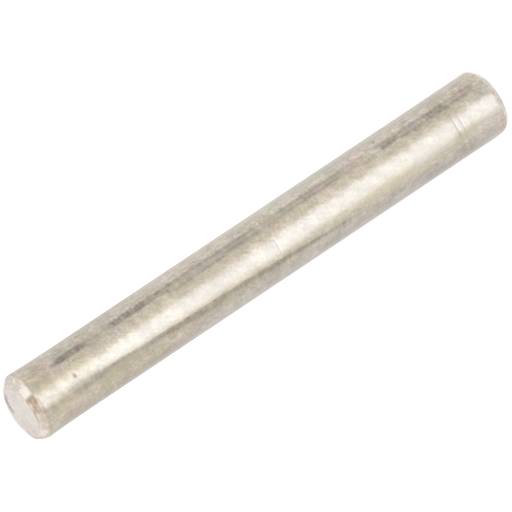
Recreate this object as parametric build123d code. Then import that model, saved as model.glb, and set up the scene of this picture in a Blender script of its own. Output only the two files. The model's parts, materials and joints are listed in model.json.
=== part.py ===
"""Plain shear pin: one piece of round steel bar, 6 mm across and 50 mm long.

The pin stands on its foot, with +Z along its axis and the origin at the middle of the foot's face.
The foot's chamfer was turned true to the axis. The crown, at the top, was cropped from the bar and
dressed by hand: cropping swelled the bar a little below that end, and the crown's face sits slightly
off the axis, so its chamfer is wide on the +X side and narrow on the -X side. Three shallow rings run
round the shank: a close pair near the foot, and a fainter one at about half height.
"""
from build123d import *
import os

# Bar, in millimetres
pin_diameter = 6.0
pin_length = 50.0

# Foot: the end with its chamfer turned true to the axis
foot_chamfer_width = 0.63
foot_chamfer_height = 0.60
foot_face_rounding = 0.32
foot_rim_rounding = 0.42

# Crown: the cropped end, with its face off the axis towards -X
crown_chamfer_width = 0.56
crown_chamfer_height = 0.72
crown_face_offset = 0.19
crown_face_rounding = 0.35
crown_rim_rounding = 0.70

# Swelling that cropping left below the crown's chamfer
swell_growth = 0.08
swell_length = 4.6

# Rings round the shank: each is the groove of a round-nosed edge
ring_nose_radius = 0.80
ring_depth = 0.015
faint_ring_depth = 0.008
ring_pair_height = 4.71
ring_pair_spacing = 0.58
faint_ring_height = 24.15

pin_radius = pin_diameter / 2
crown_radius = pin_radius + swell_growth
crown_base = pin_length - crown_chamfer_height


def shank():
    """The bar from the foot's face up to the crown's chamfer, swollen at its top."""
    swell_base = crown_base - swell_length
    with BuildPart() as bar:
        with BuildSketch(Plane.XZ):
            with BuildLine():
                Polyline(
                    (0, crown_base),
                    (0, 0),
                    (pin_radius - foot_chamfer_width, 0),
                    (pin_radius, foot_chamfer_height),
                    (pin_radius, swell_base),
                )
                TangentArc((pin_radius, swell_base), (crown_radius, crown_base), tangent=(0, 1))
                Line((crown_radius, crown_base), (0, crown_base))
            make_face()
        revolve(axis=Axis.Z)
    return bar.part


def crown():
    """The chamfered tip: it narrows from the swollen bar to a face that sits off the axis."""
    base = Pos(0, 0, crown_base) * Circle(crown_radius)
    face = Pos(-crown_face_offset, 0, pin_length) * Circle(crown_radius - crown_chamfer_width)
    return loft([base.face(), face.face()], ruled=True)


def rounded(pin, height, rounding):
    """The pin with the edge at a height rounded, where a chamfer meets a face or the shank."""
    return fillet(pin.edges().filter_by_position(Axis.Z, height, height), rounding)


def ring_groove(height, depth):
    """What one ring takes away from the shank, at a height above the foot."""
    nose_centre = pin_radius + ring_nose_radius - depth
    return Pos(0, 0, height) * Torus(nose_centre, ring_nose_radius)


def shear_pin():
    """The finished pin."""
    pin = shank() + crown()
    pin = rounded(pin, foot_chamfer_height, foot_rim_rounding)
    pin = rounded(pin, 0, foot_face_rounding)
    pin = rounded(pin, crown_base, crown_rim_rounding)
    pin = rounded(pin, pin_length, crown_face_rounding)
    for side in (-1, 1):
        pin -= ring_groove(ring_pair_height + side * ring_pair_spacing / 2, ring_depth)
    pin -= ring_groove(faint_ring_height, faint_ring_depth)
    return pin


os.makedirs("parts", exist_ok=True)
export_step(shear_pin(), "parts/shear_pin.step")
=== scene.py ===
"""A plain shear pin of drawn and handled steel, standing on its foot in a small pale studio."""

import json
import logging
import math
from dataclasses import dataclass, field
from enum import Enum
from typing import Optional, Union

import bmesh
import bpy
from mathutils import Matrix, Vector, noise


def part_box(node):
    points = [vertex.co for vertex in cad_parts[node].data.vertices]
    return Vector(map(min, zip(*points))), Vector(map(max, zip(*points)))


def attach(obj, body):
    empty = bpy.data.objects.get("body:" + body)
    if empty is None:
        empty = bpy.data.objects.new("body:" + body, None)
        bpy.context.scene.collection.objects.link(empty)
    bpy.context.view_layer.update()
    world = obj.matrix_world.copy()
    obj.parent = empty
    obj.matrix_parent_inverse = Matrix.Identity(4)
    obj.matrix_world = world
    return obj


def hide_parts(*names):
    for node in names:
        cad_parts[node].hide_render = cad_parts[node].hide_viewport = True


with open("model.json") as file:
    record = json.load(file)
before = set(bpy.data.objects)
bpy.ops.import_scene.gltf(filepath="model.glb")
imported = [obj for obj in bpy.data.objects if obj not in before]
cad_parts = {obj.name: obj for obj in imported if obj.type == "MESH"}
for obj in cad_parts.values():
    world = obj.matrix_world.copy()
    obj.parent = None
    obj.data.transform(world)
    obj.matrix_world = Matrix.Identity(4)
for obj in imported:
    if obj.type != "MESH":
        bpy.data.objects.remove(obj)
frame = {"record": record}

log = logging.getLogger("shear_pin")

MM = 0.001
TOUCHING = 1e-4
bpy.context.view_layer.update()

Triple = tuple[float, float, float]
Colour = tuple[float, float, float]
Socket = bpy.types.NodeSocket
Feed = Union[Socket, float, Triple]
Feeds = dict[Union[str, int], Feed]


class Layer(Enum):
    """Float layers on the pin's vertices that its finishes read."""

    # Dark films: dirt in pits, on the face and round the back, and also painted shade and a painted dark
    # reflection on the lit side.
    RESIDUE_AND_SHADE = "residue"
    # Greenish-grey films, partly painted shade that trims the edges of the highlight band.
    TARNISH_AND_SHADE = "tarnish"
    # Yellow films; along the highlight band's shoulders they are painted warmth where the highlight fades.
    BRASSY = "brassy"
    # Cooler grey films: a painted reflection that pales the bar towards its rims, in the highlight band and
    # on the foot's chamfer.
    COOL_REFLECTION = "cool"
    # Pale films, mostly painted highlights: the glint on the crown's chamfer, the upper rim, the highlight
    # band's lower edge and the foot.
    BURNISH_AND_HIGHLIGHT = "burnish"
    # A brighter, cooler film laid mostly along the highlight band: a painted highlight.
    RUBBED_AND_HIGHLIGHT = "rubbed"


class Region(Enum):
    """Regions of the pin with a finish of their own, as material indices."""

    SHANK = 0
    CHAMFER = 1
    CUT_FACE = 2


def smooth_step(low: float, high: float, value: float) -> float:
    """Ease from 0 to 1 between two limits.

    Args:
        low: Value at which the result leaves 0.
        high: Value at which the result reaches 1.
        value: The value to ease.

    Returns:
        The eased share, from 0 to 1.
    """
    share = min(max((value - low) / (high - low), 0.0), 1.0)
    return share * share * (3.0 - 2.0 * share)


def window(start: float, end: float, soft: float, value: float) -> float:
    """Give 1 inside a span and 0 outside it, with soft ends.

    Args:
        start: Where the span starts.
        end: Where it ends.
        soft: Width of each soft end, centred on the limit.
        value: The place to test.

    Returns:
        The share of the span at that place, from 0 to 1.
    """
    half = soft / 2
    opening = smooth_step(start - half, start + half, value)
    closing = smooth_step(end - half, end + half, value)
    return opening * (1.0 - closing)


@dataclass(frozen=True)
class Spot:
    """A place on the bar, as its azimuth in degrees and its height in millimetres.

    Azimuth 0 faces -Y, and it grows towards +X. Drift and fray are the slow and fine unevenness that makes
    the edges of patches and lines ragged at that place.
    """

    azimuth: float
    height: float
    drift: float = 0.0
    fray: float = 0.0


@dataclass(frozen=True)
class Pit:
    """A small stained pit in the shank, with a sloping wall between two shares of its radius."""

    place: Spot
    radius: float
    depth: float
    stain: float
    wall_foot: float = 0.45
    wall_top: float = 1.15

    def share(self, at: Spot, shank_radius: float) -> float:
        """Give how deep in the pit a place lies.

        Args:
            at: The place on the shank.
            shank_radius: Radius of the shank in millimetres.

        Returns:
            1 at the pit's middle, and 0 from its rim outwards.
        """
        across = math.radians(at.azimuth - self.place.azimuth) * shank_radius
        distance = math.hypot(across, at.height - self.place.height) / self.radius
        return 1.0 - smooth_step(self.wall_foot, self.wall_top, distance)


@dataclass(frozen=True)
class Ring:
    """A groove round the shank, cut by a round nose, darkened in it and just beside it."""

    height: float
    depth: float
    stain: float
    nose: float = 0.32
    spill: float = 0.04
    fraying: float = 0.6

    @property
    def half_width(self) -> float:
        """Half the groove's width at the surface."""
        return math.sqrt(self.nose**2 - (self.nose - self.depth) ** 2)

    def sink(self, height: float) -> float:
        """Give the groove's depth at a height.

        Args:
            height: Height on the shank, in millimetres.

        Returns:
            The depth in millimetres, 0 beside the groove.
        """
        away = height - self.height
        if abs(away) >= self.half_width:
            return 0.0
        return max(0.0, self.depth - (self.nose - math.sqrt(self.nose**2 - away**2)))

    def residue(self, at: Spot) -> float:
        """Give how dark the groove and its sides are at a place."""
        away = abs(at.height - self.height) / (self.half_width + self.spill)
        return self.stain * (1.0 + self.fraying * at.fray) * (1.0 - smooth_step(0.2, 1.0, away))


@dataclass(frozen=True)
class Patch:
    """A patch of one layer between two heights and two azimuths, with soft and ragged edges.

    Fade is the width of its soft ends in millimetres and feather that of its soft sides in degrees. Rise and
    stray are how far a place's drift and fray move a ragged end, in millimetres, and a ragged side, in
    degrees.
    """

    bottom: float
    top: float
    left: float
    right: float
    density: float
    fade: float = 0.45
    feather: float = 4.5
    ragged: float = 1.0
    rise: float = 0.35
    stray: float = 2.2

    def share(self, at: Spot) -> float:
        """Give how much of the patch lies at a place.

        Args:
            at: The place on the bar.

        Returns:
            The share, from 0 to the patch's density.
        """
        height = at.height + self.rise * self.ragged * at.drift
        if not self.bottom - self.fade < height < self.top + self.fade:
            return 0.0
        middle, half = (self.left + self.right) / 2, (self.right - self.left) / 2
        away = abs((at.azimuth - middle + 180.0) % 360.0 - 180.0) + self.stray * self.ragged * at.fray
        side = 1.0 - smooth_step(half - self.feather / 2, half + self.feather / 2, away)
        return self.density * side * window(self.bottom, self.top, self.fade, height)


@dataclass(frozen=True)
class DarkLinePoint:
    """A point on the dark line: its upper edge, its width in degrees and how dark it is there."""

    azimuth: float
    height: float
    width: float
    density: float


@dataclass(frozen=True)
class DarkLine:
    """A dark line under the highlight band, which wanders round the shank as it climbs: sharp on one side,
    soft on the other.

    Its edges, its tail and how far a place's drift moves it are in degrees.
    """

    route: tuple[DarkLinePoint, ...]
    tail: float
    tail_share: float
    wander: float = 0.9
    fraying: float = 0.8
    sharp_edge: tuple[float, float] = (-1.2, 1.0)
    soft_edge: float = 1.5

    def share(self, at: Spot) -> float:
        """Give how dark the line is at a place.

        Args:
            at: The place on the shank.

        Returns:
            The share, from 0 to the line's density there.
        """
        for low, high in zip(self.route, self.route[1:]):
            if low.height <= at.height <= high.height:
                part = (at.height - low.height) / (high.height - low.height)
                line = low.azimuth + (high.azimuth - low.azimuth) * part + self.wander * at.drift
                width = low.width + (high.width - low.width) * part
                density = low.density + (high.density - low.density) * part
                away = line - at.azimuth
                edge = smooth_step(*self.sharp_edge, away)
                reach = away + self.fraying * at.fray
                core = 1.0 - smooth_step(width - self.soft_edge, width + self.soft_edge, reach)
                soft = self.tail_share * math.exp(-max(away - width, 0.0) / self.tail)
                return density * edge * max(core, soft)
        return 0.0


@dataclass(frozen=True)
class Smudge:
    """An oval smudge of one layer on the crown's flat face."""

    layer: Layer
    x: float
    y: float
    length: float
    width: float
    turn: float
    density: float

    def share(self, x: float, y: float) -> float:
        """Give how much of the smudge lies at a place on the face.

        Args:
            x: Where the place lies along X, in millimetres.
            y: Where it lies along Y.

        Returns:
            The share, from 0 to the smudge's density.
        """
        turn = math.radians(self.turn)
        along = (x - self.x) * math.cos(turn) + (y - self.y) * math.sin(turn)
        across = (y - self.y) * math.cos(turn) - (x - self.x) * math.sin(turn)
        reach = math.hypot(along / self.length, across / self.width)
        return self.density * (1.0 - smooth_step(0.3, 1.0, reach))


@dataclass(frozen=True)
class Scar:
    """A shallow stained arc pressed into the crown's face, concentric with a point on it.

    Its ends are azimuths, and the metal outside it is rolled up into a low lip.
    """

    x: float
    y: float
    radius: float
    start: float
    end: float
    width: float
    depth: float
    lip: float
    stain: float
    fade: float = 24.0

    def _span(self, x: float, y: float) -> float:
        """Give the share of the arc's sweep at a place, from 0 to 1."""
        azimuth = math.degrees(math.atan2(x - self.x, self.y - y)) % 360.0
        return window(self.start, self.end, self.fade, azimuth)

    def share(self, x: float, y: float) -> float:
        """Give how deep in the arc a place on the face lies, from 0 to 1."""
        away = abs(math.hypot(x - self.x, y - self.y) - self.radius) / self.width
        return (1.0 - smooth_step(0.2, 1.0, away)) * self._span(x, y)

    def rise(self, x: float, y: float) -> float:
        """Give the height of the rolled lip in millimetres at a place."""
        outside = math.hypot(x - self.x, y - self.y) - self.radius
        return self.lip * smooth_step(0.0, self.width, outside) * self._span(x, y)


@dataclass(frozen=True)
class Dent:
    """A shallow dent knocked into the bar, with its middle in millimetres."""

    x: float
    y: float
    z: float
    radius: float
    depth: float

    def sink(self, place: Vector) -> float:
        """Give the dent's depth in millimetres at a place."""
        away = (place - Vector((self.x, self.y, self.z))).length / self.radius
        return self.depth * (1.0 - smooth_step(0.1, 1.0, away))


@dataclass(frozen=True)
class Unevenness:
    """How far a surface lies under its nominal place, and the height and fineness of the waves on it."""

    level: float
    waves: tuple[tuple[float, float], ...]

    def sink(self, place: Vector) -> float:
        """Give how far the surface lies under its nominal place, in millimetres."""
        return self.level + sum(height * noise.noise(place * fineness) for height, fineness in self.waves)


@dataclass(frozen=True)
class WearAndPaintedLight:
    """The patches of each layer, which add up, listed from the crown down: marks of handling, painted shade,
    painted highlights and painted reflections.
    """

    # A dark, broken band running up the shank beside the highlight band: a painted dark reflection.
    dark_reflection_band: tuple[Patch, ...] = (
        Patch(45.2, 46.5, 30.5, 38.5, 0.65),
        Patch(43.1, 46.0, 29.3, 42.0, 0.78),
        Patch(41.4, 42.8, 32.0, 43.0, 0.28, ragged=1.6),
        Patch(39.6, 40.7, 31.0, 43.0, 0.4),
        Patch(38.4, 39.8, 30.8, 43.0, 0.52),
        Patch(36.1, 38.6, 30.2, 43.0, 0.72),
        Patch(35.3, 36.1, 30.8, 43.0, 0.5),
        Patch(30.8, 35.6, 37.0, 42.5, 0.28, feather=3.5),
        Patch(24.6, 35.4, 24.0, 43.0, 0.2, fade=0.8, ragged=1.6),
        Patch(33.8, 35.4, 28.0, 43.0, 0.2, ragged=1.6),
        Patch(34.2, 35.2, 30.0, 36.5, 0.22, feather=3.5),
        Patch(31.8, 33.7, 24.0, 27.5, 0.26, feather=3.0),
        Patch(29.2, 31.0, -40.5, -37.0, 0.22, feather=3.5),
        Patch(28.6, 31.0, 25.0, 28.5, 0.4, feather=3.0),
        Patch(24.8, 30.8, 37.0, 42.5, 0.24, feather=3.5),
        Patch(24.6, 28.3, 26.5, 33.0, 0.22, feather=3.5),
        Patch(16.4, 24.2, 28.0, 43.0, 0.2, fade=0.8, ragged=1.6),
        Patch(22.2, 23.6, 25.5, 29.0, 0.24, feather=3.0),
        Patch(15.4, 22.4, 36.0, 42.0, 0.26, feather=3.5),
        Patch(16.3, 21.8, 27.5, 33.0, 0.28, feather=3.5),
        Patch(11.4, 16.4, 28.0, 43.0, 0.12, fade=0.8, ragged=1.6),
        Patch(12.7, 13.6, 24.0, 28.0, 0.26, feather=3.5),
        Patch(1.8, 11.8, 35.5, 41.0, 0.26, feather=3.5),
        Patch(9.7, 11.5, 28.0, 35.0, 0.4, feather=3.5),
        Patch(1.7, 11.4, 27.5, 43.0, 0.26, fade=0.8, ragged=1.6),
        Patch(7.4, 9.6, 25.0, 31.0, 0.34, feather=3.5),
        Patch(7.2, 8.3, 20.5, 27.0, 0.26),
        Patch(5.4, 6.8, 29.0, 39.0, 0.42),
        Patch(4.5, 5.4, 26.0, 36.0, 0.3),
        Patch(1.7, 4.4, 27.5, 32.0, 0.26, feather=3.5),
    )
    # Thin dark patches on the flanks, with painted shade that dims the highlight band, trims its edges and
    # darkens it at the rings.
    soil_and_shade: tuple[Patch, ...] = (
        Patch(47.9, 49.2, -35.0, -23.0, 0.19, fade=0.5, feather=5.0),
        Patch(48.3, 49.2, 13.0, 28.0, 0.15, fade=0.4, feather=6.0),
        Patch(47.9, 49.0, -18.0, -5.0, 0.16, fade=0.5, feather=5.0),
        Patch(47.9, 49.0, 6.0, 24.0, 0.15, fade=0.5, feather=6.0),
        Patch(0.8, 49.0, 60.0, 86.0, 0.06, fade=1.0, feather=14.0, ragged=1.6),
        Patch(47.2, 48.7, -25.0, -17.0, 0.16, fade=0.5, feather=4.0),
        Patch(46.6, 48.7, 30.0, 52.0, 0.13, fade=0.6, feather=7.0, ragged=1.6),
        Patch(43.0, 48.6, -9.0, 6.0, 0.08, fade=1.6, feather=6.0, ragged=1.6),
        Patch(34.0, 48.5, -84.0, -50.0, 0.15, fade=2.0, feather=14.0, ragged=1.6),
        Patch(42.8, 48.0, -72.0, -56.0, 0.11, fade=1.2, feather=7.0, ragged=1.6),
        Patch(46.3, 47.9, 12.0, 31.0, 0.12, fade=0.8, feather=6.0),
        Patch(42.8, 47.6, -27.0, -15.0, 0.07, fade=0.8, feather=5.0, ragged=1.6),
        Patch(43.0, 47.6, -18.5, -8.5, 0.22, fade=2.0, feather=6.0),
        Patch(46.0, 47.3, -56.0, -41.0, 0.14, fade=0.6, feather=6.0),
        Patch(43.6, 45.9, -26.0, -15.0, 0.13, fade=0.8, feather=5.0, ragged=1.2),
        Patch(43.9, 45.6, -8.0, 14.0, 0.09, fade=0.6, feather=6.0, ragged=1.2),
        Patch(36.5, 45.5, 54.0, 82.0, 0.08, fade=1.6, feather=9.0, ragged=1.6),
        Patch(42.5, 43.8, 14.0, 58.0, 0.13, fade=0.5, feather=8.0, ragged=1.6),
        Patch(39.4, 43.0, -32.0, -20.0, 0.08, fade=0.8, feather=5.0, ragged=1.6),
        Patch(34.2, 43.0, -20.0, 7.0, 0.06, fade=2.0, feather=9.0, ragged=1.6),
        Patch(40.6, 42.8, -23.0, -12.0, 0.12, fade=1.0, feather=6.0, ragged=1.6),
        Patch(38.6, 41.0, 22.0, 44.0, 0.15, fade=0.8, feather=5.0),
        Patch(33.8, 40.4, 43.0, 54.0, 0.11, fade=1.2, feather=5.0, ragged=1.6),
        Patch(34.0, 39.4, -67.0, -49.0, 0.12, fade=1.2, feather=7.0, ragged=1.6),
        Patch(34.4, 36.8, 3.0, 13.0, 0.1, fade=1.0, feather=6.0, ragged=1.6),
        Patch(31.6, 35.0, -15.0, 4.0, 0.05, fade=0.8, feather=6.0, ragged=1.6),
        Patch(27.0, 34.2, -18.0, 7.0, 0.09, fade=2.0, feather=9.0, ragged=1.6),
        Patch(23.8, 34.0, -84.0, -54.0, 0.09, fade=2.0, feather=14.0, ragged=1.6),
        Patch(31.4, 33.7, 9.0, 23.0, 0.09, fade=0.8, feather=5.0),
        Patch(25.5, 30.6, 29.0, 42.0, 0.14, fade=1.2, feather=5.0, ragged=1.6),
        Patch(25.7, 27.3, 17.0, 26.0, 0.13, fade=0.6, feather=5.0),
        Patch(24.1, 25.8, -57.0, -35.0, 0.17, fade=0.6, feather=6.0),
        Patch(23.2, 24.8, 11.0, 22.0, 0.12, fade=0.6, feather=5.0),
        Patch(15.0, 23.8, -84.0, -47.0, 0.12, fade=2.0, feather=12.0, ragged=1.6),
        Patch(1.5, 21.5, 54.0, 86.0, 0.09, fade=2.0, feather=9.0, ragged=1.6),
        Patch(19.7, 21.3, -39.0, -27.0, 0.14, fade=0.6, feather=5.0),
        Patch(16.4, 21.0, -70.0, -54.0, 0.1, fade=0.8, feather=6.0, ragged=1.6),
        Patch(1.5, 20.0, -18.0, 7.0, 0.02, fade=4.0, feather=9.0, ragged=1.6),
        Patch(16.1, 18.1, -45.0, -29.0, 0.14, fade=0.6, feather=5.0),
        Patch(15.3, 17.0, 32.0, 44.0, 0.17, fade=0.6, feather=5.0),
        Patch(0.8, 15.0, -84.0, -43.0, 0.17, fade=2.0, feather=12.0, ragged=1.6),
        Patch(12.2, 14.6, 9.0, 30.0, 0.09, fade=0.8, feather=6.0),
        Patch(11.5, 12.9, -50.0, -35.0, 0.15, fade=0.6, feather=5.0),
        Patch(10.5, 12.3, 8.0, 19.0, 0.15, fade=0.8, feather=4.0),
        Patch(7.4, 10.2, 5.0, 22.0, 0.07, fade=0.8, feather=5.0),
        Patch(2.8, 9.4, -74.0, -54.0, 0.14, fade=1.2, feather=7.0, ragged=1.6),
        Patch(4.7, 6.4, 23.5, 30.0, 0.2, fade=0.5, feather=4.0),
        Patch(4.8, 5.6, -52.0, -20.0, 0.1, fade=0.4, feather=10.0),
        Patch(1.4, 5.2, -27.0, -18.0, 0.11, fade=0.8, feather=5.0),
        Patch(4.93, 5.08, -24.0, 22.0, 0.11, fade=0.14, feather=12.0),
        Patch(4.36, 4.48, -20.0, 14.0, 0.14, fade=0.12, feather=12.0),
        Patch(3.4, 3.95, -18.0, 12.0, 0.1, fade=0.3, feather=8.0, ragged=0.4),
        Patch(1.4, 2.8, 9.0, 24.0, 0.06, fade=0.6, feather=6.0),
        Patch(1.3, 2.7, 4.0, 13.0, 0.09, fade=0.5, feather=4.0),
    )
    # Dark patches on the crown's chamfer, with painted shade round the rim that damps its glint.
    crown_soil_and_shade: tuple[Patch, ...] = (
        Patch(49.62, 50.2, 39.0, 47.0, 0.05, fade=0.16, feather=8.0),
        Patch(49.62, 49.92, -20.0, -4.0, 0.26, fade=0.16, feather=8.0, ragged=0.3),
        Patch(49.24, 49.92, -19.0, -9.0, 0.76, fade=0.2, feather=8.0, ragged=0.3),
        Patch(49.26, 49.86, -35.0, -27.0, 0.1, fade=0.22, feather=8.0, ragged=0.3),
        Patch(49.26, 49.86, -27.0, -19.0, 0.38, fade=0.22, feather=8.0, ragged=0.3),
        Patch(49.24, 49.84, -9.0, 12.0, 0.8, fade=0.24, feather=8.0, ragged=0.3),
        Patch(49.22, 49.5, 42.0, 90.0, 0.18, fade=0.16, feather=8.0),
        Patch(49.12, 49.46, -24.0, 2.0, 0.66, fade=0.14, feather=7.0, ragged=0.2),
        Patch(49.0, 49.3, -200.0, 200.0, 0.1, fade=0.14, ragged=0.1),
        Patch(48.98, 49.28, -20.0, 5.0, 0.26, fade=0.2, feather=8.0, ragged=0.3),
        Patch(48.3, 49.24, -24.0, -18.0, 0.22, fade=0.4, feather=5.0, ragged=0.5),
    )
    # Painted shade on the foot's chamfer and at the foot end of the highlight band, and a small dark mark at
    # the foot's rim.
    foot_soil_and_shade: tuple[Patch, ...] = (
        Patch(0.6, 3.0, 7.5, 22.0, 0.06, fade=0.6, feather=5.0),
        Patch(0.6, 1.7, 8.0, 15.0, 0.13, fade=0.6, feather=5.0),
        Patch(0.46, 0.72, -1.0, 9.0, 0.42, fade=0.16, feather=5.0, ragged=0.3),
        Patch(0.02, 0.45, -30.0, 45.0, 0.14, fade=0.2, feather=12.0),
    )
    far_soil: tuple[Patch, ...] = (
        Patch(30.0, 47.5, 146.0, 155.0, 0.5, fade=2.5),
        Patch(12.0, 43.5, -104.0, -98.0, 0.35, fade=4.0),
        Patch(5.5, 21.0, 150.0, 161.0, 0.4, fade=3.0),
    )
    # Greenish-grey patches, many of them painted shade that trims the highlight band's edges.
    tarnish: tuple[Patch, ...] = (
        Patch(43.4, 49.2, 13.0, 29.0, 0.28, fade=1.4, feather=6.0),
        Patch(48.2, 49.2, 24.0, 42.0, 0.34, fade=0.8, feather=8.0),
        Patch(-1.0, 49.1, -112.0, -66.0, 0.16, feather=12.0),
        Patch(42.6, 49.1, -30.0, -18.5, 0.4, fade=1.4, feather=6.0, ragged=1.6),
        Patch(46.0, 49.1, -24.0, -15.0, 0.45, fade=1.0, feather=5.0),
        Patch(43.2, 48.9, -31.0, -21.0, 0.16, fade=0.8, feather=6.0),
        Patch(43.2, 48.9, -24.0, -14.5, 0.32, fade=0.8, feather=5.0),
        Patch(43.4, 46.6, 38.0, 63.0, 0.3, fade=0.9, feather=8.0),
        Patch(43.7, 46.2, -24.0, -11.5, 0.8, fade=1.2, feather=8.0, ragged=1.2),
        Patch(43.6, 45.9, -13.5, -5.0, 0.32, fade=0.8, feather=6.0, ragged=1.2),
        Patch(38.4, 44.0, -46.0, -33.0, 0.18, fade=1.2, feather=6.0),
        Patch(39.8, 43.6, -48.0, -13.0, 0.24, fade=1.2, feather=8.0),
        Patch(39.8, 43.6, 25.0, 38.0, 0.3, fade=1.0, feather=6.0),
        Patch(34.6, 43.0, -40.0, -17.0, 0.13, fade=1.5, feather=6.0),
        Patch(38.0, 42.8, -31.0, -19.5, 0.25, fade=1.6, feather=6.0),
        Patch(38.6, 42.2, -36.0, -18.0, 0.26, fade=1.0, feather=6.0),
        Patch(34.6, 40.2, 9.0, 18.0, 0.22, fade=1.4, feather=5.0),
        Patch(36.4, 39.6, -72.0, -56.0, 0.34, fade=1.4, feather=8.0),
        Patch(22.0, 36.0, 95.0, 140.0, 0.45, fade=9.0, feather=30.0),
        Patch(30.0, 35.0, 20.0, 33.0, 0.2, fade=1.4, feather=6.0),
        Patch(22.0, 34.0, -26.0, -14.0, 0.1, fade=3.0, feather=5.0),
        Patch(24.0, 33.0, -47.0, -33.0, 0.22, fade=1.6, feather=6.0),
        Patch(21.0, 27.0, 21.0, 33.0, 0.24, fade=1.4, feather=6.0),
        Patch(14.5, 24.0, -38.0, -16.0, 0.18, fade=3.0, feather=6.0),
        Patch(20.6, 22.2, 18.0, 44.0, 0.26, fade=0.8, feather=6.0),
        Patch(16.8, 18.8, -66.0, -26.0, 0.26, fade=0.8, feather=8.0),
        Patch(6.0, 18.0, -160.0, -120.0, 0.4, fade=8.0, feather=30.0),
        Patch(13.0, 18.0, 24.0, 34.0, 0.28, fade=1.4, feather=6.0),
        Patch(5.2, 15.0, 16.0, 28.0, 0.12, fade=2.0, feather=6.0),
        Patch(5.0, 14.5, -34.0, -18.0, 0.08, fade=3.0, feather=6.0),
        Patch(5.0, 11.6, 20.0, 30.0, 0.24, fade=1.4, feather=6.0),
        Patch(2.4, 8.4, -72.0, -57.0, 0.34, fade=1.6, feather=6.0),
        Patch(1.2, 5.2, -84.0, -44.0, 0.14, fade=0.8, feather=8.0),
        Patch(1.2, 5.2, -30.0, -17.0, 0.18, fade=0.8, feather=6.0),
        Patch(1.2, 5.2, 8.0, 27.0, 0.2, fade=0.8, feather=6.0),
        Patch(0.4, 2.8, 26.0, 70.0, 0.2, fade=1.0, feather=8.0),
    )
    brassy: tuple[Patch, ...] = (
        Patch(49.24, 50.3, -82.0, -36.0, 0.6, fade=0.1, feather=12.0),
        Patch(49.9, 50.3, -36.0, 15.0, 0.6, fade=0.1, feather=8.0),
        Patch(49.24, 49.9, -36.0, 15.0, 0.8, fade=0.1, feather=8.0),
        Patch(47.0, 49.2, -84.0, -14.0, 0.34, fade=1.0, feather=8.0),
        Patch(47.0, 49.2, 13.0, 62.0, 0.34, fade=1.0, feather=8.0),
        Patch(36.0, 49.1, -84.0, -14.0, 0.5, fade=4.0, feather=12.0),
        # From here on, all but the patch round the back warm the highlight band and its shoulders: painted
        # warmth where the highlight fades.
        Patch(43.2, 49.1, -9.0, 3.0, 0.6, fade=1.6, feather=6.0),
        Patch(43.4, 49.1, 2.0, 16.0, 0.95, fade=1.6, feather=9.0),
        Patch(38.5, 49.1, 8.0, 34.0, 0.35, fade=3.0, feather=8.0),
        Patch(30.0, 42.0, 2.0, 13.0, 0.35, fade=4.0, feather=6.0),
        Patch(8.0, 40.0, -240.0, -110.0, 0.25, fade=12.0, feather=50.0),
        Patch(3.0, 38.5, 8.0, 28.0, 0.45, fade=3.0, feather=8.0),
        Patch(1.5, 36.5, -30.0, -15.0, 0.22, fade=3.0, feather=6.0),
        Patch(3.0, 36.0, -42.0, -12.0, 0.48, fade=4.0, feather=10.0),
        Patch(1.5, 15.0, -38.0, -14.0, 0.34, fade=3.0, feather=8.0),
        Patch(3.0, 12.5, 2.0, 13.0, 0.35, fade=3.0, feather=6.0),
    )
    # A cooler grey at the rims, in the highlight band and on the foot's chamfer: a painted reflection.
    cool: tuple[Patch, ...] = (
        Patch(49.5, 50.0, 48.0, 90.0, 0.12, fade=0.2, feather=10.0),
        Patch(-1.0, 49.1, -112.0, -64.0, 0.4, feather=10.0),
        Patch(-1.0, 49.1, 58.0, 112.0, 0.42, feather=14.0),
        Patch(2.0, 36.0, -110.0, -44.0, 0.5, fade=6.0, feather=12.0),
        Patch(19.5, 27.5, -11.0, 0.0, 0.4, fade=2.0, feather=5.0),
        Patch(-1.0, 0.6, -80.0, -30.0, 0.4, fade=0.2, feather=20.0),
        Patch(-1.0, 0.6, -30.0, 12.0, 0.38, fade=0.2, feather=12.0),
        Patch(-1.0, 0.6, 12.0, 80.0, 0.5, fade=0.2, feather=20.0),
    )
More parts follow.
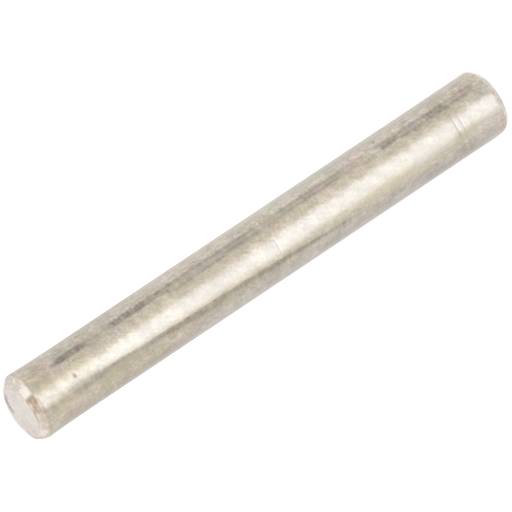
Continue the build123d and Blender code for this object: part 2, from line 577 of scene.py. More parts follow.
    # Pale patches, mostly painted highlights: the glint on the crown's chamfer, the upper rim, the highlight
    # band's lower edge, a bright line by the rings and the foot.
    burnish: tuple[Patch, ...] = (
        Patch(49.9, 50.3, -74.0, -48.0, 0.4, fade=0.06, feather=12.0),
        Patch(49.9, 50.3, 40.0, 150.0, 0.6, fade=0.06, feather=30.0),
        Patch(49.34, 50.2, -80.0, -40.0, 0.3, fade=0.3, feather=16.0),
        Patch(49.76, 50.0, 22.0, 58.0, 0.34, fade=0.12, feather=8.0),
        Patch(49.62, 49.98, -78.0, -56.0, 0.5, fade=0.2, feather=8.0),
        Patch(49.32, 49.88, 14.0, 38.0, 0.36, fade=0.26, feather=12.0, ragged=0.6),
        Patch(49.32, 49.88, 14.0, 33.0, 0.36, fade=0.26, feather=12.0, ragged=0.6),
        Patch(49.42, 49.84, 15.0, 31.0, 0.45, fade=0.26, feather=10.0, ragged=0.5),
        Patch(47.6, 49.2, -62.0, -43.0, 0.24, fade=0.7, feather=6.0),
        Patch(2.0, 40.0, 46.0, 80.0, 0.1, fade=5.0, feather=12.0),
        Patch(30.3, 31.7, -30.0, -19.0, 0.3, fade=0.6, feather=4.0),
        Patch(21.2, 26.6, -24.0, -14.0, 0.38, fade=1.5, feather=5.0),
        Patch(-1.0, 26.0, 62.0, 112.0, 0.4, fade=10.0, feather=16.0),
        Patch(1.0, 22.0, -40.0, 12.0, 0.18, fade=6.0, feather=8.0),
        Patch(8.6, 10.2, -28.0, -17.0, 0.26, fade=0.8, feather=4.0),
        Patch(5.4, 9.8, -30.0, -18.0, 0.38, fade=1.5, feather=6.0),
        Patch(3.9, 4.3, -14.0, 0.0, 0.55, fade=0.2),
        Patch(1.0, 4.0, -85.0, -28.0, 0.3, fade=1.6, feather=8.0),
        Patch(0.55, 2.2, -26.0, 3.0, 0.46, fade=0.4, feather=5.0),
        Patch(0.6, 1.1, 24.0, 38.0, 0.24, fade=0.3, feather=5.0),
    )
    # Brighter, cooler patches, mostly a painted highlight along the highlight band, with one round the back.
    rubbed: tuple[Patch, ...] = (
        Patch(-1.0, 60.0, 128.0, 176.0, 0.4, feather=20.0),
        Patch(42.0, 52.0, -11.0, 3.0, 0.4, fade=5.0, feather=9.0),
        Patch(-3.0, 42.0, -17.5, 5.0, 0.62, fade=5.0, feather=12.0),
    )
    # A dark line painted just under the highlight band.
    seam: DarkLine = DarkLine(
        route=(
            DarkLinePoint(-37.5, 15.9, 5.0, 0.0),
            DarkLinePoint(-35.8, 17.7, 5.5, 0.36),
            DarkLinePoint(-34.6, 19.5, 5.5, 0.42),
            DarkLinePoint(-32.8, 21.2, 6.5, 0.5),
            DarkLinePoint(-30.4, 23.0, 7.0, 0.58),
            DarkLinePoint(-28.0, 24.8, 9.0, 0.6),
            DarkLinePoint(-27.2, 26.5, 8.0, 0.57),
            DarkLinePoint(-25.4, 28.3, 9.0, 0.54),
            DarkLinePoint(-24.0, 30.1, 8.5, 0.6),
            DarkLinePoint(-23.2, 31.8, 15.0, 0.55),
            DarkLinePoint(-22.6, 33.6, 13.0, 0.56),
            DarkLinePoint(-22.3, 35.4, 10.0, 0.68),
            DarkLinePoint(-20.3, 37.1, 8.0, 0.66),
            DarkLinePoint(-20.6, 38.9, 7.0, 0.36),
            DarkLinePoint(-18.0, 40.6, 6.0, 0.52),
            DarkLinePoint(-16.8, 42.4, 7.0, 0.42),
            DarkLinePoint(-16.4, 44.1, 14.0, 0.36),
            DarkLinePoint(-20.0, 46.2, 12.0, 0.16),
            DarkLinePoint(-20.0, 48.6, 9.0, 0.1),
        ),
        tail=7.0,
        tail_share=0.42,
    )
    smudges: tuple[Smudge, ...] = (
        Smudge(Layer.RESIDUE_AND_SHADE, -0.82, 1.08, 0.42, 0.26, 20.0, 0.16),
        Smudge(Layer.RESIDUE_AND_SHADE, -0.49, 0.58, 0.40, 0.22, -15.0, 0.14),
        Smudge(Layer.RESIDUE_AND_SHADE, -1.81, 1.33, 0.40, 0.24, 40.0, 0.16),
        Smudge(Layer.BRASSY, -1.60, 0.30, 1.60, 1.40, 0.0, 0.60),
        Smudge(Layer.BURNISH_AND_HIGHLIGHT, 0.60, -1.20, 1.50, 0.80, -20.0, 0.25),
    )

    @property
    def coats(self) -> dict[Layer, tuple[Patch, ...]]:
        """Sort the patches by layer.

        Returns:
            The patches of each layer.
        """
        return {
            Layer.RESIDUE_AND_SHADE: self.dark_reflection_band + self.soil_and_shade + self.crown_soil_and_shade + self.foot_soil_and_shade + self.far_soil,
            Layer.TARNISH_AND_SHADE: self.tarnish,
            Layer.BRASSY: self.brassy,
            Layer.COOL_REFLECTION: self.cool,
            Layer.BURNISH_AND_HIGHLIGHT: self.burnish,
            Layer.RUBBED_AND_HIGHLIGHT: self.rubbed,
        }


@dataclass(frozen=True)
class Pattern:
    """A noise pattern on the metal.

    Fineness is its features for each millimetre, detail the finer copies laid over it and crispness how
    strong they are. It is leaned about Y in degrees, then shifted, then stretched.
    """

    fineness: float = 1.0
    detail: float = 3.0
    crispness: float = 0.6
    lean: float = 0.0
    shift: Triple = (0.0, 0.0, 0.0)
    stretch: Triple = (1.0, 1.0, 1.0)


class NodeBench:
    """A short way to lay out shader nodes."""

    def __init__(self, tree: bpy.types.NodeTree) -> None:
        """Keep the tree to work on."""
        self.tree = tree

    def new(self, kind: str, feeds: Optional[Feeds] = None, **settings: object) -> bpy.types.Node:
        """Add a node.

        Args:
            kind: The node's type.
            feeds: What each of its inputs is fed, by the input's name or number.
            settings: Its other properties, by name.

        Returns:
            The node.
        """
        node = self.tree.nodes.new(kind)
        for name, value in settings.items():
            setattr(node, name, value)
        for key, value in (feeds or {}).items():
            self.feed(node.inputs[key], value)
        return node

    def link(self, source: Socket, target: Socket) -> None:
        """Join two sockets."""
        self.tree.links.new(source, target)

    def feed(self, socket: Socket, value: Feed) -> None:
        """Give a socket a link or a constant.

        Args:
            socket: The input to set.
            value: A socket to link, a number, a vector or a colour.
        """
        if isinstance(value, bpy.types.NodeSocket):
            self.link(value, socket)
        elif isinstance(value, tuple) and len(value) == 3 and socket.type == "RGBA":
            socket.default_value = (*value, 1.0)
        else:
            socket.default_value = value

    def object_place(self) -> Socket:
        """Give the place on the object, in millimetres."""
        return self.scaled(self.new("ShaderNodeTexCoord").outputs["Object"], (1 / MM, 1 / MM, 1 / MM))

    def scaled(self, value: Feed, by: Triple) -> Socket:
        """Multiply a place or a colour by an amount on each axis."""
        return self.new("ShaderNodeVectorMath", {0: value, 1: by}, operation="MULTIPLY").outputs["Vector"]

    def shifted(self, place: Socket, by: Triple) -> Socket:
        """Move a place by an amount on each axis."""
        return self.new("ShaderNodeVectorMath", {0: place, 1: by}, operation="ADD").outputs["Vector"]

    def leaned(self, place: Socket, lean: float) -> Socket:
        """Lean a place about the Y axis by an angle in degrees."""
        feeds = {"Vector": place, "Angle": math.radians(lean)}
        return self.new("ShaderNodeVectorRotate", feeds, rotation_type="Y_AXIS").outputs["Vector"]

    def noise(self, place: Socket, pattern: Pattern) -> Socket:
        """Lay a noise pattern on the metal.

        Args:
            place: Where to read the pattern, in millimetres.
            pattern: The pattern to lay.

        Returns:
            The pattern's value, about 0.5 on average.
        """
        if pattern.lean != 0.0:
            place = self.leaned(place, pattern.lean)
        if pattern.shift != (0.0, 0.0, 0.0):
            place = self.shifted(place, pattern.shift)
        if pattern.stretch != (1.0, 1.0, 1.0):
            place = self.scaled(place, pattern.stretch)
        feeds = {
            "Vector": place,
            "Scale": pattern.fineness,
            "Detail": pattern.detail,
            "Roughness": pattern.crispness,
        }
        return self.new("ShaderNodeTexNoise", feeds).outputs["Fac"]

    def layer(self, layer: Layer) -> Socket:
        """Read one of the pin's vertex layers."""
        return self.new("ShaderNodeAttribute", attribute_name=layer.value).outputs["Fac"]

    def spread(self, value: Socket, low: float, high: float) -> Socket:
        """Spread the middle of a noise value over a range."""
        feeds = {"Value": value, "From Min": 0.3, "From Max": 0.7, "To Min": low, "To Max": high}
        return self.new("ShaderNodeMapRange", feeds).outputs["Result"]

    def varied(self, value: Socket, amount: float) -> Socket:
        """Turn a noise value into a factor that varies round 1 by an amount."""
        return self.spread(value, 1.0 - amount, 1.0 + amount)

    def ramp(self, value: Socket, low: float, high: float) -> Socket:
        """Ease a value from 0 at one level to 1 at another."""
        feeds = {"Value": value, "From Min": low, "From Max": high}
        return self.new("ShaderNodeMapRange", feeds, interpolation_type="SMOOTHSTEP").outputs["Result"]

    def math(self, operation: str, left: Feed, right: Feed, clamp: bool = False) -> Socket:
        """Combine two values."""
        feeds = {0: left, 1: right}
        return self.new("ShaderNodeMath", feeds, operation=operation, use_clamp=clamp).outputs["Value"]

    def product(self, first: Socket, *others: Socket) -> Socket:
        """Multiply values in turn.

        Args:
            first: The first value.
            others: The values that it is multiplied by.

        Returns:
            The product.
        """
        for other in others:
            first = self.math("MULTIPLY", first, other)
        return first

    def eased(self, factor: Socket, amount: float) -> Socket:
        """Bring a factor that varies round 1 closer to 1, down to an amount of its swing."""
        return self.math("ADD", self.math("MULTIPLY", factor, amount), 1.0 - amount)

    def mix(self, share: Socket, first: Feed, second: Feed) -> Socket:
        """Mix two colours by a share."""
        feeds = {"Factor": share, 6: first, 7: second}
        return self.new("ShaderNodeMix", feeds, data_type="RGBA").outputs[2]

    def shade(self, colour: Feed, amount: Socket) -> Socket:
        """Multiply a colour by a value."""
        feeds = {0: colour, "Scale": amount}
        return self.new("ShaderNodeVectorMath", feeds, operation="SCALE").outputs["Vector"]

    def bump(self, height: Socket, depth: float, under: Optional[Socket] = None) -> Socket:
        """Turn a height into a relief.

        Args:
            height: The height, from 0 to 1.
            depth: How deep the relief is, in millimetres.
            under: The relief that it lies on, where there is one.

        Returns:
            The normal of the relief.
        """
        feeds = {"Distance": depth * MM, "Height": height}
        if under is not None:
            feeds["Normal"] = under
        return self.new("ShaderNodeBump", feeds).outputs["Normal"]


@dataclass(frozen=True)
class Finish:
    """A metal finish whose colour, gloss and relief vary over the pin.

    Colours are linear, and relief is in millimetres. Cloud, speckle, banding and scratching are how far each
    pattern swings the metal's brightness round 1, and breaking, grit and hatching how far each swings the
    darkest film, which holds dirt and painted shade. Levels are the values of a pattern between which one
    colour gives way to another.
    """

    name: str
    base: Colour
    warm: Colour
    films: dict[Layer, Colour]
    roughness: float
    anisotropy: float
    turn: float
    groove_depth: float
    grain_depth: float
    cloud: float = 0.21
    speckle: float = 0.16
    banding: float = 0.05
    scratching: float = 0.14
    breaking: float = 0.40
    grit: float = 0.30
    hatching: float = 0.35
    drift: float = 0.019
    metal: float = 1.0
    sheen: float = 0.5
    roughness_swing: float = 0.04
    film_mottle: float = 0.5
    polish_and_highlight_mottle: float = 0.12
    warm_levels: tuple[float, float] = (0.36, 0.64)
    hue_levels: tuple[float, float] = (0.32, 0.68)
    warmth: Pattern = Pattern(0.35, 4.0, shift=(7.0, 3.0, 1.0))
    hue: Pattern = Pattern(0.5, 3.0, 0.65, shift=(-4.0, 9.0, 2.0))
    clouds: Pattern = Pattern(0.55, 3.0, 0.8)
    speckles: Pattern = Pattern(4.5, 2.0)
    bands: Pattern = Pattern(stretch=(0.06, 0.06, 1.3))
    scratches: Pattern = Pattern(lean=-32.0, stretch=(4.0, 4.0, 0.5))
    breaks: Pattern = Pattern(crispness=0.7, stretch=(0.9, 0.9, 3.2))
    grooves: Pattern = Pattern(detail=4.0, crispness=0.5, stretch=(0.12, 0.12, 14.0))
    grain: Pattern = Pattern(6.0, crispness=0.5)

    def material(self) -> bpy.types.Material:
        """Build the finish as a node material.

        Returns:
            The material.
        """
        material = bpy.data.materials.new(self.name)
        material.use_nodes = True
        nodes = NodeBench(material.node_tree)
        place = nodes.object_place()
        clouds = nodes.noise(place, self.clouds)
        speckles = nodes.noise(place, self.speckles)
        scratches = nodes.noise(place, self.scratches)
        shade = nodes.product(
            nodes.varied(clouds, self.cloud),
            nodes.varied(speckles, self.speckle),
            nodes.varied(nodes.noise(place, self.bands), self.banding),
            nodes.varied(scratches, self.scratching),
        )
        broken = nodes.product(
            nodes.varied(nodes.noise(place, self.breaks), self.breaking),
            nodes.varied(speckles, self.grit),
            nodes.varied(scratches, self.hatching),
        )
        colour = nodes.shade(self._metal_colour(nodes, place), shade)
        colour = self._filmed(nodes, colour, shade, broken)
        bump = nodes.bump(nodes.noise(place, self.grooves), self.groove_depth)
        bump = nodes.bump(nodes.noise(place, self.grain), self.grain_depth, bump)
        low, high = self.roughness - self.roughness_swing, self.roughness + self.roughness_swing
        feeds = {
            "Base Color": colour,
            "Metallic": self.metal,
            "Roughness": nodes.spread(clouds, low, high),
            "Specular IOR Level": self.sheen,
            "Anisotropic": self.anisotropy,
            "Anisotropic Rotation": self.turn,
            "Tangent": nodes.new("ShaderNodeTangent", direction_type="RADIAL", axis="Z").outputs["Tangent"],
            "Normal": bump,
        }
        for name, value in feeds.items():
            nodes.feed(nodes.tree.nodes["Principled BSDF"].inputs[name], value)
        return material

    def _metal_colour(self, nodes: NodeBench, place: Socket) -> Socket:
        """Mix the bare metal's colour from its base and its warmer parts, drifting in hue.

        Args:
            nodes: The material's nodes.
            place: The place on the pin, in millimetres.

        Returns:
            The colour.
        """
        share = nodes.ramp(nodes.noise(place, self.warmth), *self.warm_levels)
        colour = nodes.mix(share, self.base, self.warm)
        less, more = 1.0 - self.drift, 1.0 + self.drift
        mossy = nodes.scaled(colour, (less, more, less))
        rosy = nodes.scaled(colour, (more, less, more))
        return nodes.mix(nodes.ramp(nodes.noise(place, self.hue), *self.hue_levels), mossy, rosy)

    def _filmed(self, nodes: NodeBench, colour: Socket, shade: Socket, broken: Socket) -> Socket:
        """Lay the films over the metal, each where its vertex layer says; among them are painted shade,
        painted highlights and painted reflections.

        Args:
            nodes: The material's nodes.
            colour: The metal's colour.
            shade: The metal's mottling.
            broken: How the darkest film, which holds dirt and painted shade, breaks up.

        Returns:
            The colour with every film on it.
        """
        # The pale films, mostly painted highlights, keep less of the metal's mottling.
        clouded, polish_and_highlight = nodes.eased(shade, self.film_mottle), nodes.eased(shade, self.polish_and_highlight_mottle)
        for layer, film in self.films.items():
            share = nodes.layer(layer)
            if layer is Layer.RESIDUE_AND_SHADE:
                share = nodes.math("MULTIPLY", share, broken, clamp=True)
            mottle = polish_and_highlight if layer in (Layer.BURNISH_AND_HIGHLIGHT, Layer.RUBBED_AND_HIGHLIGHT) else clouded
            colour = nodes.mix(share, colour, nodes.shade(film, mottle))
        return colour


DRAWN_SHANK = Finish(
    name="drawn_shank",
    base=(0.583, 0.539, 0.481),
    warm=(0.598, 0.532, 0.451),
    # Among these films, the greenish-grey and the darkest also serve as painted shade, the two palest as
    # painted highlights, the cooler grey as a painted reflection and the yellow one, on the highlight band's
    # shoulders, as painted warmth.
    films={
        Layer.TARNISH_AND_SHADE: (0.360, 0.340, 0.285),
        Layer.BRASSY: (0.600, 0.535, 0.412),
        Layer.COOL_REFLECTION: (0.572, 0.541, 0.512),
        Layer.BURNISH_AND_HIGHLIGHT: (0.690, 0.668, 0.628),
        Layer.RUBBED_AND_HIGHLIGHT: (0.606, 0.576, 0.530),
        Layer.RESIDUE_AND_SHADE: (0.260, 0.232, 0.203),
    },
    roughness=0.41,
    anisotropy=0.75,
    turn=0.25,
    groove_depth=0.0004,
    grain_depth=0.0004,
)
DRESSED_CHAMFER = Finish(
    name="dressed_chamfer",
    base=(0.760, 0.700, 0.672),
    warm=(0.752, 0.680, 0.640),
    # On the chamfers, the palest film is a painted highlight, the darkest partly painted shade and the cooler
    # grey a painted reflection.
    films={
        Layer.TARNISH_AND_SHADE: (0.420, 0.410, 0.350),
        Layer.BRASSY: (0.575, 0.500, 0.428),
        Layer.COOL_REFLECTION: (0.560, 0.545, 0.520),
        Layer.BURNISH_AND_HIGHLIGHT: (0.940, 0.905, 0.865),
        Layer.RESIDUE_AND_SHADE: (0.326, 0.249, 0.185),
    },
    roughness=0.45,
    anisotropy=0.3,
    turn=0.25,
    groove_depth=0.0006,
    grain_depth=0.0012,
)
CUT_FACE = Finish(
    name="cut_face",
    base=(0.955, 0.880, 0.825),
    warm=(0.935, 0.845, 0.780),
    films={
        Layer.BRASSY: (0.890, 0.780, 0.690),
        Layer.BURNISH_AND_HIGHLIGHT: (0.965, 0.930, 0.900),
        Layer.RESIDUE_AND_SHADE: (0.300, 0.250, 0.220),
    },
    roughness=0.55,
    metal=0.12,
    sheen=0.1,
    anisotropy=0.0,
    turn=0.0,
    groove_depth=0.0,
    grain_depth=0.002,
    cloud=0.10,
    speckle=0.08,
    banding=0.0,
    scratching=0.03,
    drift=0.012,
)


@dataclass
class ShearPin:
    """The pin: a turned bar with a chamfer at each end, swollen and dressed by hand at its crown.

    Lengths are in millimetres. The shank's radius and the pin's length come from the frame. Zones are how far
    fine rows reach from the rim, a pit and the crown's face, and skins how far from the pin's end its flat
    face may lie. Slopes are the upward part of a surface's normal that parts one kind of surface from the
    next.
    """

    node: str = "shear_pin"
    foot_chamfer_width: float = 0.63
    foot_chamfer_height: float = 0.60
    crown_chamfer_width: float = 0.56
    crown_chamfer_height: float = 0.72
    crown_face_offset: float = 0.19
    swell_growth: float = 0.08
    swell_length: float = 4.6
    foot_rounding: float = 0.18
    foot_edge_rounding: float = 0.13
    rim_rounding: float = 0.24
    face_edge_rounding: float = 0.17
    rounding_steps: int = 6
    steps_round: int = 180
    row_height: float = 0.14
    fine_row_height: float = 0.05
    crown_face_row: float = 0.09
    foot_face_row: float = 0.40
    rim_zone: float = 0.6
    pit_zone: float = 0.3
    face_zone: float = 0.01
    face_skin: float = 0.08
    foot_skin: float = 0.05
    cut_face_slope: float = 0.97
    crown_face_slope: float = 0.95
    shank_slope: float = 0.4
    chamfer_slope: float = 0.3
    chamfer_lip_share: float = 0.5
    drift_fineness: tuple[float, float] = (1.3, 3.1)
    fray_fineness: Triple = (2.0, 2.0, 4.5)
    fray_shift: float = 31.0
    crown_face_unevenness: Unevenness = Unevenness(0.036, ((0.008, 1.4), (0.004, 4.0)))
    chamfer_unevenness: Unevenness = Unevenness(0.016, ((0.012, 1.1),))
    shank_unevenness: Unevenness = Unevenness(0.004, ((0.004, 0.9), (0.0012, 2.6)))
    rings: tuple[Ring, ...] = (
        Ring(4.42, 0.014, 0.10, nose=0.8),
        Ring(5.01, 0.015, 0.08, nose=0.8),
        Ring(24.15, 0.012, 0.08),
        Ring(27.3, 0.004, 0.03),
        Ring(29.1, 0.005, 0.04),
        Ring(34.2, 0.004, 0.03),
        Ring(38.2, 0.005, 0.05),
    )
    pits: tuple[Pit, ...] = (
        Pit(Spot(0.3, 45.28), 0.24, 0.04, 0.52),
        Pit(Spot(60.0, 42.9), 0.17, 0.03, 0.55),
        Pit(Spot(5.3, 22.7), 0.13, 0.02, 0.25),
        Pit(Spot(-7.5, 10.4), 0.13, 0.02, 0.25),
        Pit(Spot(-24.0, 17.3), 0.16, 0.03, 0.35),
        Pit(Spot(-45.0, 17.3), 0.16, 0.03, 0.40),
        Pit(Spot(51.6, 11.6), 0.15, 0.03, 0.55),
        Pit(Spot(118.0, 31.0), 0.20, 0.04, 0.70),
        Pit(Spot(-131.0, 14.2), 0.18, 0.04, 0.60),
        Pit(Spot(171.0, 39.5), 0.15, 0.03, 0.55),
    )
    scar: Scar = Scar(0.76, 0.76, 1.00, 94.0, 214.0, 0.38, 0.035, 0.02, 0.55)
    dents: tuple[Dent, ...] = (
        Dent(-1.7, 2.1, 49.9, 1.1, 0.040),
        Dent(-2.9, -0.2, 0.4, 1.2, 0.070),
        Dent(0.3, -2.8, 49.6, 0.6, 0.020),
        Dent(-1.9, -2.1, 49.6, 0.7, 0.015),
        Dent(2.7, 0.6, 49.5, 0.7, 0.020),
        Dent(1.2, 2.6, 0.3, 0.8, 0.030),
        Dent(0.2, -2.8, 0.2, 0.5, 0.020),
    )
    wear_and_painted_light: WearAndPaintedLight = WearAndPaintedLight()
    shank_radius: float = field(init=False)
    length: float = field(init=False)

    def __post_init__(self) -> None:
        """Read the pin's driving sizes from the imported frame."""
        low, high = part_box(self.node)
        self.length = (high[2] - low[2]) / MM
        shank = next(m for m in frame["record"]["mounts"] if m["name"] == "shank")
        self.shank_radius = shank["dims"]["r_mm"]

    @property
    def crown_base(self) -> float:
        """Height of the rim under the crown's chamfer."""
        return self.length - self.crown_chamfer_height

    @property
    def crown_face_radius(self) -> float:
        """Radius of the crown's flat face."""
        return self.shank_radius + self.swell_growth - self.crown_chamfer_width

    def build(self, finishes: tuple[Finish, ...]) -> bpy.types.Object:
        """Model the pin, dress it and put it in the scene in place of its plain solid.

        Args:
            finishes: The finish of each region, in the order of Region.

        Returns:
            The finished piece.
        """
        bm = self._turn()
        self._swell(bm)
        self._assign_regions(bm)
        self._dress(bm)
        self._paint(bm)
        bmesh.ops.recalc_face_normals(bm, faces=bm.faces[:])
        bmesh.ops.scale(bm, vec=(MM, MM, MM), verts=bm.verts[:])
        mesh = bpy.data.meshes.new("worn_pin")
        bm.to_mesh(mesh)
        bm.free()
        mesh.polygons.foreach_set("use_smooth", [True] * len(mesh.polygons))
        for finish in finishes:
            mesh.materials.append(finish.material())
        piece = bpy.data.objects.new("worn_pin", mesh)
        bpy.context.collection.objects.link(piece)
        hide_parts(self.node)
        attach(piece, "root")
        return piece

    def _corners(self) -> list[Triple]:
        """List the corners of the half outline, from the foot's middle to the crown's.

        Returns:
            The radius, height and rounding of each corner.
        """
        return [
            (0.0, 0.0, 0.0),
            (self.shank_radius - self.foot_chamfer_width, 0.0, self.foot_edge_rounding),
            (self.shank_radius, self.foot_chamfer_height, self.foot_rounding),
            (self.shank_radius, self.crown_base, self.rim_rounding),
            (self.crown_face_radius, self.length, self.face_edge_rounding),
            (0.0, self.length, 0.0),
        ]

    def _fine_zones(self) -> list[tuple[float, float]]:
        """List the spans of height that need fine rows: the grooves, the deepest pit and the rim.

        Returns:
            The lower and upper end of each span.
        """
        zones = [(ring.height - ring.nose / 2, ring.height + ring.nose / 2) for ring in self.rings]
        deepest = max(self.pits, key=lambda pit: pit.depth).place.height
        zones.append((deepest - self.pit_zone, deepest + self.pit_zone))
        zones.append((self.crown_base - self.rim_zone, self.length - self.face_zone))
        return zones

    def _row(self, height: float, zones: list[tuple[float, float]]) -> float:
        """Choose how far apart the rows of the mesh lie.

        Args:
            height: Height of the rows.
            zones: The spans of height that need fine rows.

        Returns:
            The distance between two rows.
        """
        if height > self.length - TOUCHING:
            return self.crown_face_row
        if height < TOUCHING:
            return self.foot_face_row
        fine = any(low < height < high for low, high in zones)
        return self.fine_row_height if fine else self.row_height

    def _turn(self) -> bmesh.types.BMesh:
        """Turn the half outline into a closed bar, its corners rounded and its shank in fine rows.

        Returns:
            The turned mesh, in millimetres.
        """
        bm = bmesh.new()
        outline = self._corners()
        corners = [bm.verts.new((radius, 0.0, height)) for radius, height, _ in outline]
        for first, second in zip(corners, corners[1:]):
            bm.edges.new((first, second))
        for corner, (_, _, rounding) in list(zip(corners, outline))[1:-1]:
            bmesh.ops.bevel(
                bm,
                geom=[corner],
                affect="VERTICES",
                offset=rounding,
                segments=self.rounding_steps,
                profile=0.5,
                material=-1,
            )
        zones = self._fine_zones()
        for height in (limit for zone in zones for limit in zone):
            bmesh.ops.bisect_plane(
                bm, geom=bm.verts[:] + bm.edges[:], plane_co=(0.0, 0.0, height), plane_no=(0.0, 0.0, 1.0)
            )
        for edge in list(bm.edges):
            middle = (edge.verts[0].co + edge.verts[1].co) / 2
            cuts = int(edge.calc_length() / self._row(middle.z, zones))
            if cuts > 1:
                bmesh.ops.subdivide_edges(bm, edges=[edge], cuts=cuts)
        bmesh.ops.spin(
            bm,
            geom=bm.verts[:] + bm.edges[:],
            cent=(0.0, 0.0, 0.0),
            axis=(0.0, 0.0, 1.0),
            angle=math.tau,
            steps=self.steps_round,
            use_merge=True,
        )
        bmesh.ops.remove_doubles(bm, verts=bm.verts[:], dist=TOUCHING)
        bmesh.ops.recalc_face_normals(bm, faces=bm.faces[:])
        return bm

    def _swell(self, bm: bmesh.types.BMesh) -> None:
        """Swell the bar below the crown's rim and move the crown's face off the axis.

        Args:
            bm: The turned mesh, in millimetres.
        """
        swell_base = self.crown_base - self.swell_length
        for vert in bm.verts:
            height = vert.co.z
            radius = math.hypot(vert.co.x, vert.co.y)
            if height <= swell_base or radius < TOUCHING:
                growth = 0.0
            elif height <= self.crown_base:
                growth = self.swell_growth * ((height - swell_base) / self.swell_length) ** 2
            else:
                growth = self.swell_growth * (self.length - height) / self.crown_chamfer_height
            factor = 1.0 + growth / max(radius, self.crown_face_radius)
            vert.co.x *= factor
            vert.co.y *= factor
            lean = max(0.0, height - self.crown_base) / self.crown_chamfer_height
            vert.co.x -= self.crown_face_offset * lean

    def _assign_regions(self, bm: bmesh.types.BMesh) -> None:
        """Give each face the material index of its region.

        Args:
            bm: The swollen mesh, in millimetres.
        """
        for face in bm.faces:
            height = face.calc_center_median().z
            if abs(face.normal.z) > self.cut_face_slope:
                region = Region.CUT_FACE
            elif self.foot_chamfer_height < height < self.crown_base:
                region = Region.SHANK
            else:
                region = Region.CHAMFER
            face.material_index = region.value

    def _spot(self, vert: bmesh.types.BMVert) -> Spot:
        """Place a vertex on the bar, with the unevenness of the patches' edges there.

        Args:
            vert: The vertex, in millimetres.

        Returns:
            Its azimuth and height, its slow drift and its finer fray.
        """
        coarse, fine = self.drift_fineness
        drift = noise.noise(vert.co * coarse) + 0.5 * noise.noise(vert.co * fine)
        x, y, z = (part * fineness for part, fineness in zip(vert.co, self.fray_fineness))
        fray = noise.noise(Vector((x, y, z + self.fray_shift)))
        return Spot(math.degrees(math.atan2(vert.co.x, -vert.co.y)), vert.co.z, drift, fray)

    def _on_face(self, vert: bmesh.types.BMVert) -> bool:
        """Tell whether a vertex lies on the crown's flat face."""
        return vert.co.z > self.length - self.face_skin and vert.normal.z > self.crown_face_slope

    def _sink(self, vert: bmesh.types.BMVert) -> float:
        """Give how far the dents, the scar and its lip, the rings, the pits and the unevenness sink a vertex.

        Args:
            vert: The vertex, in millimetres.

        Returns:
            How far it moves inwards, in millimetres.
        """
        place = vert.co
        sink = sum(dent.sink(place) for dent in self.dents)
        if self._on_face(vert):
            sink += self.crown_face_unevenness.sink(place)
            sink += self.scar.depth * self.scar.share(place.x, place.y)
            sink -= self.scar.rise(place.x, place.y)
        elif abs(vert.normal.z) < self.shank_slope:
            spot = self._spot(vert)
            sink += self.shank_unevenness.sink(place)
            sink += sum(ring.sink(spot.height) for ring in self.rings)
            sink += sum(pit.depth * pit.share(spot, self.shank_radius) for pit in self.pits)
        elif vert.normal.z > self.chamfer_slope:
            sink += self.chamfer_unevenness.sink(place)
            sink -= self.chamfer_lip_share * self.scar.rise(place.x, place.y)
        return sink

    def _dress(self, bm: bmesh.types.BMesh) -> None:
        """Sink the rings, the pits, the dents and the scar, and leave the bar slightly uneven.

        Args:
            bm: The swollen mesh, in millimetres.
        """
        moves = [vert.normal * -self._sink(vert) for vert in bm.verts]
        for vert, move in zip(bm.verts, moves):
            vert.co += move

    def _paint(self, bm: bmesh.types.BMesh) -> None:
        """Lay the dark films, the tints, and the painted shade, highlights and reflections on the vertices.

        Args:
            bm: The worn mesh, in millimetres.
        """
        layers = {layer: bm.verts.layers.float.new(layer.value) for layer in Layer}
        coats = self.wear_and_painted_light.coats
        for vert in bm.verts:
            shares = dict.fromkeys(Layer, 0.0)
            if self._on_face(vert):
                for smudge in self.wear_and_painted_light.smudges:
                    shares[smudge.layer] += smudge.share(vert.co.x, vert.co.y)
                shares[Layer.RESIDUE_AND_SHADE] += self.scar.stain * self.scar.share(vert.co.x, vert.co.y)
            elif vert.co.z > self.foot_skin:
                spot = self._spot(vert)
                for layer, patches in coats.items():
                    shares[layer] = sum(patch.share(spot) for patch in patches)
                shares[Layer.RESIDUE_AND_SHADE] += self.wear_and_painted_light.seam.share(spot)
                shares[Layer.RESIDUE_AND_SHADE] += sum(ring.residue(spot) for ring in self.rings)
                for pit in self.pits:
                    shares[Layer.RESIDUE_AND_SHADE] += pit.stain * pit.share(spot, self.shank_radius)
            for layer, share in shares.items():
                vert[layers[layer]] = min(share, 1.0)


@dataclass(frozen=True)
class Panel:
    """A soft square lamp that faces the pin.

    Azimuth 0 is towards -Y and grows towards +X. Lengths are in metres, angles in degrees and power in watts.
    """

    name: str
    azimuth: float
    elevation: float
    distance: float
    width: float
    height: float
    power: float
    tint: Colour

    def build(self, target: Vector) -> None:
        """Hang the lamp.

        Args:
            target: The point that the lamp faces, in metres.
        """
        data = bpy.data.lights.new(self.name, "AREA")
        data.shape = "RECTANGLE"
        data.size = self.width
        data.size_y = self.height
        data.energy = self.power
        data.color = self.tint
        lamp = bpy.data.objects.new(self.name, data)
        bpy.context.collection.objects.link(lamp)
        turn, rise = math.radians(self.azimuth), math.radians(self.elevation)
        away = Vector((math.sin(turn) * math.cos(rise), -math.cos(turn) * math.cos(rise), math.sin(rise)))
        lamp.location = target + away * self.distance
        lamp.rotation_euler = away.to_track_quat("Z", "Y").to_euler()


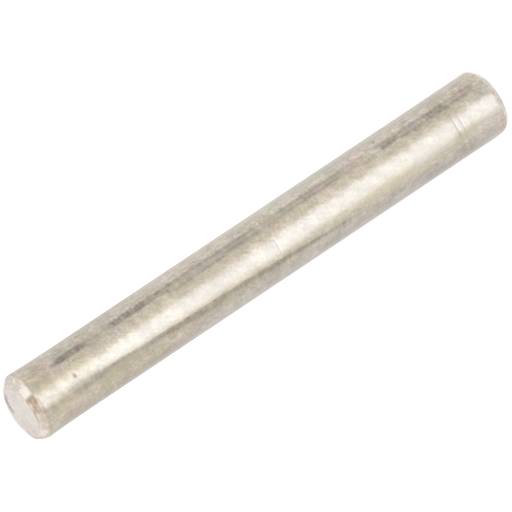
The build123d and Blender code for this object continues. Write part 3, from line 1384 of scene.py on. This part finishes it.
@dataclass
class Studio:
    """The pale floor, the pale surroundings and the lamps."""

    floor_size: float = 3.0
    floor_albedo: float = 0.75
    ambient: float = 0.60
    lift: float = 0.51
    mirrored: Colour = (0.93, 0.885, 0.82)
    panels: tuple[Panel, ...] = (
        Panel("key_panel", -12.2, 18.0, 0.9, 0.86, 0.75, 6.9, (0.87, 0.93, 1.01)),
        Panel("side_panel", 105.0, 15.0, 0.6, 1.0, 0.5, 0.20, (0.84, 0.93, 1.0)),
    )

    def build(self, target: Vector) -> None:
        """Lay the floor, set the world and hang the lamps.

        Args:
            target: The point that the lamps face, in metres.
        """
        self._world()
        self._floor()
        for panel in self.panels:
            panel.build(target)
            log.info("%s: %.2f W", panel.name, panel.power)

    def _seen(self, nodes: NodeBench) -> Socket:
        """Tell rays from the camera and mirrored or refracted ones from the rest.

        Args:
            nodes: The nodes to work with.

        Returns:
            1 for those rays, and 0 for the rest.
        """
        path = nodes.new("ShaderNodeLightPath").outputs
        seen = nodes.math("MAXIMUM", path["Is Camera Ray"], path["Is Glossy Ray"])
        return nodes.math("MAXIMUM", seen, path["Is Transmission Ray"])

    def _cast(self, nodes: NodeBench) -> Socket:
        """Give white to the eye, and the warmer cast of the room to mirrored rays."""
        glossy = nodes.new("ShaderNodeLightPath").outputs["Is Glossy Ray"]
        return nodes.mix(glossy, (1.0, 1.0, 1.0), self.mirrored)

    def _world(self) -> None:
        """Make the surroundings white to the eye and in mirrors, and a soft fill to the rest."""
        world = bpy.data.worlds.new("surroundings")
        bpy.context.scene.world = world
        world.use_nodes = True
        nodes = NodeBench(world.node_tree)
        strength = nodes.new("ShaderNodeMix", {"Factor": self._seen(nodes), 2: self.ambient, 3: 1.0})
        background = world.node_tree.nodes["Background"]
        nodes.feed(background.inputs["Color"], self._cast(nodes))
        nodes.feed(background.inputs["Strength"], strength.outputs[0])

    def _floor(self) -> None:
        """Lay a pale floor that takes the pin's shadow and otherwise looks white."""
        bm = bmesh.new()
        bmesh.ops.create_grid(bm, x_segments=1, y_segments=1, size=self.floor_size / 2)
        mesh = bpy.data.meshes.new("floor")
        bm.to_mesh(mesh)
        bm.free()
        mesh.materials.append(self._floor_material())
        floor = bpy.data.objects.new("floor", mesh)
        bpy.context.collection.objects.link(floor)

    def _floor_material(self) -> bpy.types.Material:
        """Build the floor's matt white, lifted to white for the eye.

        Returns:
            The material.
        """
        material = bpy.data.materials.new("pale_floor")
        material.use_nodes = True
        nodes = NodeBench(material.node_tree)
        nodes.tree.nodes.remove(nodes.tree.nodes["Principled BSDF"])
        matt = nodes.new("ShaderNodeBsdfDiffuse", {"Color": (self.floor_albedo,) * 3})
        strength = nodes.math("MULTIPLY", self._seen(nodes), self.lift)
        lift = nodes.new("ShaderNodeEmission", {"Color": self._cast(nodes), "Strength": strength})
        both = nodes.new("ShaderNodeAddShader", {0: matt.outputs[0], 1: lift.outputs[0]})
        nodes.feed(nodes.tree.nodes["Material Output"].inputs["Surface"], both.outputs[0])
        return material


@dataclass(frozen=True)
class Viewpoint:
    """A distant camera that looks at the middle of the pin, rolled so that the pin lies across the frame.

    Angles are in degrees, the distance and the nearest limit in metres, and the lens, the sensor and how far
    the aim lies beside the pin's middle in millimetres.
    """

    elevation: float = 20.4
    roll: float = -123.692
    distance: float = 1.0
    nearest: float = 0.01
    focal_length: float = 845.7
    sensor: float = 36.0
    aim: tuple[float, float] = (-0.076, -0.175)

    def build(self, middle: Vector) -> None:
        """Place the camera and make it the scene's own.

        Args:
            middle: The pin's middle, in metres.
        """
        rise, roll = math.radians(self.elevation), math.radians(self.roll)
        back = Vector((0.0, -math.cos(rise), math.sin(rise)))
        right = Vector((1.0, 0.0, 0.0))
        up = back.cross(right)
        across = right * math.cos(roll) + up * math.sin(roll)
        upward = back.cross(across)
        centre = middle + (across * self.aim[0] + upward * self.aim[1]) * MM
        data = bpy.data.cameras.new("camera")
        data.lens = self.focal_length
        data.sensor_width = self.sensor
        data.clip_start = self.nearest
        camera = bpy.data.objects.new("camera", data)
        bpy.context.collection.objects.link(camera)
        turn = Matrix((across, upward, back)).transposed().to_4x4()
        camera.matrix_world = Matrix.Translation(centre + back * self.distance) @ turn
        bpy.context.scene.camera = camera


def main() -> None:
    """Build the pin, its studio and the camera, and log the pin's faces and each lamp's power."""
    logging.basicConfig(level=logging.INFO, format="%(message)s")
    pin = ShearPin()
    piece = pin.build((DRAWN_SHANK, DRESSED_CHAMFER, CUT_FACE))
    log.info("%s: %d faces", piece.name, len(piece.data.polygons))
    middle = Vector((0.0, 0.0, pin.length * MM / 2))
    Studio().build(middle)
    Viewpoint().build(middle)
    bpy.context.scene.view_settings.view_transform = "Standard"


if __name__ == "__main__":
    main()
